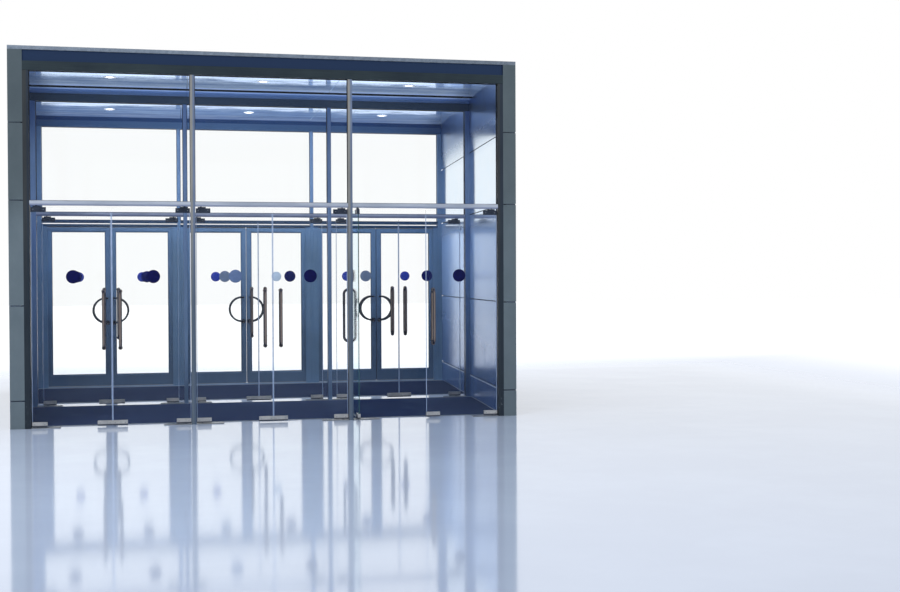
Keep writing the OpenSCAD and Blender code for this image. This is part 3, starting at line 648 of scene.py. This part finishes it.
class Shape:
    """A mesh in the making; each form is drawn in its own place."""

    def __init__(self):
        self.mesh = bmesh.new()

    def bar(self, place, low, high, bevel=0.0):
        """A bar between two corners, its edges rounded where a bevel is given."""
        low, high = Vector(low), Vector(high)
        made = bmesh.ops.create_cube(self.mesh, size=1.0)["verts"]
        for v in made:
            v.co = Vector(low[i] + (v.co[i] + 0.5) * (high[i] - low[i]) for i in range(3))
        if bevel:
            edges = list(dict.fromkeys(e for v in made for e in v.link_edges))
            out = bmesh.ops.bevel(self.mesh, geom=made + edges, offset=bevel, segments=2,
                                  affect="EDGES", profile=0.5)
            rounded = [v for f in out["faces"] for v in f.verts]
            made = list(dict.fromkeys(rounded + [v for v in made if v.is_valid]))
        bmesh.ops.transform(self.mesh, matrix=place, verts=made)

    def turned(self, place, profile, around):
        """A form turned about the local Z axis, from (radius, height) pairs; a third
        value of 6 draws that ring as a hexagon."""
        rings = []
        for radius, height, *sides in profile:
            ring = []
            for i in range(around if radius else 1):
                angle = math.tau * i / around
                reach = radius
                if sides:
                    sector = math.tau / sides[0]
                    reach *= math.cos(sector / 2) / math.cos(angle % sector - sector / 2)
                ring.append(self.mesh.verts.new(
                    place @ Vector((reach * math.cos(angle), reach * math.sin(angle), height))))
            rings.append(ring)
        for a, b in zip(rings, rings[1:]):
            for i in range(around):
                j = (i + 1) % around
                corners = [a[i % len(a)], a[j % len(a)], b[j % len(b)], b[i % len(b)]]
                corners = list(dict.fromkeys(corners))
                if len(corners) > 2:
                    self.mesh.faces.new(corners)

    def surround(self, place, side, u0, u1, z0, z1, outline):
        """A mitred strip round a rectangle on one side of a sheet, from the (inward,
        outward) points of its outline."""
        loops = []
        for inward, out in outline:
            corners = ((u0 + inward, z0 + inward), (u1 - inward, z0 + inward),
                       (u1 - inward, z1 - inward), (u0 + inward, z1 - inward))
            loops.append([self.mesh.verts.new(place @ Vector((u, side * out, z)))
                          for u, z in corners])
        for a, b in zip(loops, loops[1:] + loops[:1]):
            for i in range(4):
                j = (i + 1) % 4
                self.mesh.faces.new((a[i], a[j], b[j], b[i]))

    def extruded(self, place, outline, length):
        """An outline in the local YZ plane, run along local X from 0 to length."""
        ends = [[self.mesh.verts.new(place @ Vector((x, y, z))) for y, z in outline]
                for x in (0, length)]
        for i in range(len(outline)):
            j = (i + 1) % len(outline)
            self.mesh.faces.new((ends[0][i], ends[0][j], ends[1][j], ends[1][i]))
        self.mesh.faces.new(ends[0])
        self.mesh.faces.new(ends[1][::-1])

    def thing(self, name, material):
        """An object of this mesh, in the scene."""
        data = bpy.data.meshes.new(name)
        self.mesh.to_mesh(data)
        self.mesh.free()
        made = bpy.data.objects.new(name, data)
        bpy.context.scene.collection.objects.link(made)
        data.materials.append(material)
        return made

    def piece(self, name, body, material):
        """The finished piece, riding on its body."""
        bmesh.ops.recalc_face_normals(self.mesh, faces=self.mesh.faces)
        made = self.thing(name, material)
        made.data.shade_smooth()
        made.data.set_sharp_from_angle(angle=SHARP_ANGLE)
        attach(made, body)
        return made


HERE = Matrix.Identity(4)
SHARP_ANGLE = math.radians(35)


def bay_at(y):
    """Width of a bay at y, rounded as in the part."""
    return round(25000 * (BAY_INNER + 2 * (y - ROW_Y[0]) * SPLAY / 3)) / 25000


def wall_x(y):
    """Distance from the middle of the lobby to the face of the cladding at y."""
    return 1.5 * BAY_INNER + POST_W / 2 + WALL_GAP + (y - ROW_Y[0]) * SPLAY


def hand(leaf):
    """1 for a leaf that hangs on the left of its bay, and -1 for one on the right."""
    return 1 if leaf % 2 else -1


def leaf_place(row, leaf):
    """From leaf measures (along the leaf from its hinge, outwards, up) to the frame."""
    x, y, _ = HINGES[f"{row}_leaf_{leaf}"]
    along, out = Vector((hand(leaf), 0, 0)), Vector((0, 1, 0))
    if row == "outer":
        x, y = x + hand(leaf) * HINGE_GAP / 2, y - HINGE_Y
    if (row, leaf) == OPEN_LEAF:
        along = Vector((math.cos(OPEN_ANGLE), math.sin(OPEN_ANGLE), 0))
        out = Vector((-along.y, along.x, 0))
    turn = Matrix((along, out, (0, 0, 1))).transposed().to_4x4()
    return Matrix.Translation((x, y, 0)) @ turn


def leaf_width(row):
    """Width of the glass of a glass leaf, or of the frame of a framed one."""
    low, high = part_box(f"{row}_glass_1")
    return high.x - low.x + (2 * (STILE_W - UNIT_IN) if row == "outer" else 0)


def on_face(place, side, u, out, z):
    """A place on one side of a leaf, at out from its middle, with its local Z away from it."""
    return (place @ Matrix.Translation((u, side * out, z))
            @ Matrix.Rotation(-side * math.pi / 2, 4, "X"))


# Fitted pieces

SIDES = (-1, 1)
GREY_DOTS = {("inner", 3), ("middle", 3), ("middle", 5), ("outer", 4)}
DOT_SHIFT = {"inner": (0.014, -0.021, 0.009, 0, 0, 0.026),
             "middle": (-0.011, -0.025, -0.011, 0.009, -0.025, 0.035),
             "outer": (0, 0, 0, 0, 0, 0)}

# Outlines, as (radius, height) pairs, or as (inward, outward) ones for the seals
DOT = [(0, FILM_T), (DOT_R - 0.001, FILM_T), (DOT_R, 0.0002), (DOT_R, 0.0)]
SOCKET_SCREW = [(0, -0.0016, 6), (0.0021, -0.0016, 6), (0.0021, 0.0004, 6), (0.0040, 0.0006),
                (0.0049, 0.0002), (0.0052, -0.0004)]
WASHER = [(0.0205, 0.0), (0.0228, 0.0), (0.0228, 0.0012), (0.0212, 0.0018)]
CYLINDER = [(0, -0.001), (0.0028, -0.001), (0.0030, 0.0018), (0.0072, 0.0020),
            (0.0078, 0.0014), (0.0078, -0.001)]
LENS = [(0, -0.0045), (0.022, -0.0035), (0.038, -0.001), (0.0475, 0.004), (0.046, 0.008),
        (0, 0.008)]
BEAD_SEAL = [(-0.002, 0.012), (0.004, 0.012), (0.0045, 0.0135), (0.003, 0.016),
             (-0.002, 0.0165)]
FANLIGHT_SEAL = [(-0.001, 0.006), (0.005, 0.006), (0.0055, 0.008), (0.003, 0.0105),
                 (-0.001, 0.0105)]
RIB_SIDE = [(0, 0.001), (0, 0.0058), (0.0012, 0.0074), (0.003, MAT_T)]


def warning_dot(row, leaf):
    """Round film on both faces of the glass, which marks it."""
    shape = Shape()
    place = leaf_place(row, leaf)
    framed = row == "outer"
    u = leaf_width(row) / 2 + DOT_SHIFT[row][leaf - 1] - (0 if framed else PIVOT_IN)
    for side in SIDES:
        shape.turned(on_face(place, side, u, (UNIT_T if framed else GLASS_T) / 2, DOT_Z), DOT, 72)
    shape.piece(f"{row}_warning_dot_{leaf}", f"{row}_leaf_{leaf}",
                grey_film if (row, leaf) in GREY_DOTS else navy_film)


def patch_screws(row, leaf):
    """Clamping screws on both faces of the three patches."""
    shape = Shape()
    place = leaf_place(row, leaf)
    near = -PIVOT_IN - PATCH_LIP
    far = leaf_width(row) - PIVOT_IN + PATCH_LIP - PATCH_W
    for u0, z0 in ((near, LEAF_Z), (near, LEAF_TOP - PATCH_H), (far, LEAF_Z)):
        for du in (PATCH_SCREW_IN, PATCH_W - PATCH_SCREW_IN):
            for side in SIDES:
                at = on_face(place, side, u0 + du, PATCH_D / 2, z0 + PATCH_H / 2)
                shape.turned(at, SOCKET_SCREW, 18)
    shape.piece(f"{row}_patch_screws_{leaf}", f"{row}_leaf_{leaf}", spring_cover_metal)


def handle_washers(row, leaf):
    """Washers between the pull handle's roses and the glass."""
    shape = Shape()
    place = leaf_place(row, leaf)
    u = leaf_width(row) - PIVOT_IN - PULL_IN
    for z in (PULL_Z, PULL_Z + PULL_L):
        for side in SIDES:
            shape.turned(on_face(place, side, u, GLASS_T / 2, z), WASHER, 36)
    shape.piece(f"{row}_handle_washers_{leaf}", f"{row}_leaf_{leaf}", rubber_seal)


def glazing_seals(leaf):
    """Rubber seals between the beads and the glass of a framed leaf."""
    shape = Shape()
    place = leaf_place("outer", leaf)
    for side in SIDES:
        shape.surround(place, side, STILE_W, leaf_width("outer") - STILE_W, LIGHT_Z, LIGHT_TOP,
                       BEAD_SEAL)
    shape.piece(f"outer_glazing_seals_{leaf}", f"outer_leaf_{leaf}", rubber_seal)


def edge_brushes(leaf):
    """Brush seals in the meeting stile and under the bottom rail of a framed leaf."""
    shape = Shape()
    place = leaf_place("outer", leaf)
    width = leaf_width("outer")
    off_middle, half, held, reach = 0.014, 0.003, 0.004, 0.0025
    short, drop = 0.010, 0.005
    for v in (-off_middle, off_middle):
        shape.bar(place, (width - held, v - half, OUTER_Z + short),
                  (width + reach, v + half, OUTER_TOP - short), 0.0008)
    shape.bar(place, (short, -held, OUTER_Z - drop), (width - short, held, OUTER_Z + held), 0.001)
    shape.piece(f"outer_edge_brushes_{leaf}", f"outer_leaf_{leaf}", rubber_seal)


def edge_seals(row, leaf):
    """Clear seals clipped to both upright edges of a glass leaf, between the patches."""
    shape = Shape()
    place = leaf_place(row, leaf)
    clip, skin, nose, half, short = 0.0045, 0.0012, 0.0018, 0.0066, 0.001
    z0, z1 = LEAF_Z + PATCH_H + short, LEAF_TOP - PATCH_H - short
    for edge, way in ((-PIVOT_IN, 1), (leaf_width(row) - PIVOT_IN, -1)):
        for side in SIDES:
            near, far = sorted((edge, edge + way * clip))
            low, high = sorted((side * GLASS_T / 2, side * (GLASS_T / 2 + skin)))
            shape.bar(place, (near, low, z0), (far, high, z1), 0.0004)
        near, far = sorted((edge, edge - way * nose))
        shape.bar(place, (near, -half, z0), (far, half, z1), 0.0006)
    shape.piece(f"{row}_edge_seals_{leaf}", f"{row}_leaf_{leaf}", edge_seal_plastic)


def jamb_gasket(leaf):
    """Rubber seal on the jamb's stop, and a brush under the transom, for a framed leaf."""
    shape = Shape()
    place = leaf_place("outer", leaf)
    low, high = (0.001, 0.0005 - STOP_Y), (0.009, 0.0050 - STOP_Y)
    shape.bar(place, (*low, OUTER_Z + 0.012), (*high, OUTER_TOP - 0.002), 0.001)
    half, z0, z1 = 0.004, OUTER_TOP + 0.002, OUTER_TOP + 0.0085
    shape.bar(place, (0.0, -half, z0), (leaf_width("outer"), half, z1), 0.001)
    shape.piece(f"jamb_gasket_{leaf}", "lobby", rubber_seal)


def lock_cylinders(leaf):
    """Profile cylinders in the lock roses, on both faces."""
    shape = Shape()
    place = leaf_place("outer", leaf)
    u = leaf_width("outer") - BOW_IN + BOW_LEG
    z = BOW_Z - BOW_R - LOCK_DROP
    for side in SIDES:
        shape.turned(on_face(place, side, u, LEAF_D / 2 + LOCK_T, z), CYLINDER, 24)
    shape.piece(f"outer_lock_cylinders_{leaf}", f"outer_leaf_{leaf}", spring_cover_metal)


for row in ROWS:
    for leaf in LEAVES:
        warning_dot(row, leaf)
        if row == "outer":
            glazing_seals(leaf)
            edge_brushes(leaf)
            lock_cylinders(leaf)
            jamb_gasket(leaf)
        else:
            if (row, leaf) != OPEN_LEAF:
                edge_seals(row, leaf)
            patch_screws(row, leaf)
            handle_washers(row, leaf)


def fanlight_seals():
    """Rubber seals on both faces of the fixed sheets over the doors."""
    shape = Shape()
    for y, transom_top in zip(ROW_Y, TRANSOM_TOP):
        half = bay_at(y) / 2 - POST_W / 2
        for b in BAYS:
            place = Matrix.Translation((b * bay_at(y), y, 0))
            for side in SIDES:
                shape.surround(place, side, -half, half, transom_top, HEAD_Z, FANLIGHT_SEAL)
    shape.piece("fanlight_seals", "lobby", rubber_seal)


def lamp_lenses():
    """Domed glass of the downlights, glowing."""
    for chamber, from_row in enumerate(LAMP_Y):
        shape = Shape()
        y = ROW_Y[chamber] + from_row
        for b in BAYS:
            shape.turned(Matrix.Translation((b * bay_at(y), y, CEILING_Z)), LENS, 40)
        shape.piece(f"downlight_lenses_{chamber + 1}", "lobby", lamp_glow)


def spring_cover_screws():
    """Countersunk screws at both ends of every floor spring cover."""
    shape = Shape()
    for y in ROW_Y[:2]:
        for leaf in LEAVES:
            bay_x = BAYS[(leaf - 1) // 2] * bay_at(y)
            for u in COVER_SCREWS:
                x = bay_x - hand(leaf) * (bay_at(y) / 2 - POST_W / 2 - u)
                shape.turned(Matrix.Translation((x, y, MAT_T)), SOCKET_SCREW, 18)
    shape.piece("spring_cover_screws", "lobby", spring_cover_metal)


def ribbed_mats():
    """Entrance mats of long ribs, laid across the way in on a thin backing."""
    low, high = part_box("entrance_mats")
    ends = ((low.y, ROW_Y[1] - STRIP_IN - EDGING_W), (ROW_Y[1] + STRIP_OUT + EDGING_W, high.y))
    outline = RIB_SIDE + [(RIB_W - y, z) for y, z in reversed(RIB_SIDE)]
    play, end_play, end_h, backing_t = 0.001, 0.0005, 0.007, 0.003
    for number, (y0, y1) in enumerate(ends, 1):
        shape = Shape()
        count = int((y1 - y0) / RIB_PITCH)
        slack = (y1 - y0 - count * RIB_PITCH) / 2
        for i in range(count):
            y = y0 + slack + i * RIB_PITCH + (RIB_PITCH - RIB_W) / 2
            half = wall_x(y) - EDGING_W - play
            shape.extruded(Matrix.Translation((-half, y, 0)), outline, 2 * half)
        for y, start, stop in ((y0 + slack / 2, y0 + end_play, y0 + slack),
                               (y1 - slack / 2, y1 - slack, y1 - end_play)):
            half = wall_x(y) - EDGING_W - play
            shape.bar(HERE, (-half, start, 0.0), (half, stop, end_h))
        half = wall_x(y0) - EDGING_W - 2 * play
        shape.bar(HERE, (-half, y0 + play, 0.0), (half, y1 - play, backing_t))
        made = shape.piece(f"ribbed_mat_{number}", "lobby", mat_pile)
        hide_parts("entrance_mats")


fanlight_seals()
lamp_lenses()
spring_cover_screws()
ribbed_mats()


# Floor, light and camera

FLOOR_CORNERS = ((-60, -40, 0), (60, -40, 0), (60, 60, 0), (-60, 60, 0))
CAMERA_AT = (-1.0941, ROW_Y[0] - 14.3377, 1.6145)
CAMERA_ANGLES = (12.274, -0.863, -0.2167)
PHOTO_W, PHOTO_FOCAL, SENSOR_W = 900, 1275, 36.0


def floor():
    """A plain pale floor."""
    shape = Shape()
    shape.mesh.faces.new([shape.mesh.verts.new(corner) for corner in FLOOR_CORNERS])
    shape.thing("floor", floor_stone)


def studio():
    """White surroundings for what is seen, and an even cool light for what is lit."""
    world = bpy.data.worlds.new("studio")
    bpy.context.scene.world = world
    world.use_nodes = True
    p = Paint(world.node_tree)
    camera, glossy, through = (p.node("ShaderNodeLightPath", out=f"Is {kind} Ray")
                               for kind in ("Camera", "Glossy", "Transmission"))
    indoors = 1 - p.place("Y", "Generated").step(-0.5, 0.2)
    mirrored = glossy * (1 - camera) * indoors
    shown = p.mix(mirrored, WHITE, (0.60, 0.66, 0.74, 1))
    colour = p.mix(camera | glossy | through, (0.62, 0.70, 0.84, 1), shown)
    surroundings = p.node("ShaderNodeBackground", None, {"Color": colour, "Strength": 1.0})
    p.end("ShaderNodeOutputWorld", surroundings)


def soft_light(name, at, target, size, power, colour):
    """A lamp with a broad face, turned towards its target and not seen itself."""
    lamp = bpy.data.lights.new(name, "AREA")
    lamp.shape = "RECTANGLE"
    lamp.size, lamp.size_y = size
    lamp.energy = power
    lamp.color = colour
    made = bpy.data.objects.new(name, lamp)
    bpy.context.scene.collection.objects.link(made)
    made.location = at
    made.rotation_euler = (Vector(target) - Vector(at)).to_track_quat("-Z", "Y").to_euler()
    made.visible_camera = False
    made.visible_glossy = False


def photo_camera():
    """The photograph's viewpoint, found from the posts, transoms and bases."""
    yaw, pitch, roll = (math.radians(angle) for angle in CAMERA_ANGLES)
    forward = Vector((math.sin(yaw) * math.cos(pitch), math.cos(yaw) * math.cos(pitch),
                      math.sin(pitch)))
    right = Vector((math.cos(yaw), -math.sin(yaw), 0))
    up = right.cross(forward)
    right, up = (right * math.cos(roll) + up * math.sin(roll),
                 up * math.cos(roll) - right * math.sin(roll))
    data = bpy.data.cameras.new("photo_camera")
    data.sensor_width = SENSOR_W
    data.lens = PHOTO_FOCAL / PHOTO_W * SENSOR_W
    data.clip_start, data.clip_end = 0.1, 300
    made = bpy.data.objects.new("photo_camera", data)
    bpy.context.scene.collection.objects.link(made)
    turn = Matrix((right, up, -forward)).transposed().to_4x4()
    made.matrix_world = Matrix.Translation(CAMERA_AT) @ turn
    bpy.context.scene.camera = made


floor()
studio()
soft_light("indoor_softbox", (-5, -9, 6.5), (0, 0, 2), (6, 4), 420, (0.86, 0.92, 1.0))
soft_light("daylight_softbox", (2, 11, 5), (0, 0, 1.5), (8, 5), 700, (0.92, 0.96, 1.0))
soft_light("chamber_softbox", (0, 0.35, 3.7), (0, 2.6, 1.0), (4.6, 0.5), 100, (0.90, 0.95, 1.0))
photo_camera()

bpy.context.scene.view_settings.view_transform = "Standard"
bpy.context.scene.cycles.transparent_max_bounces = 32
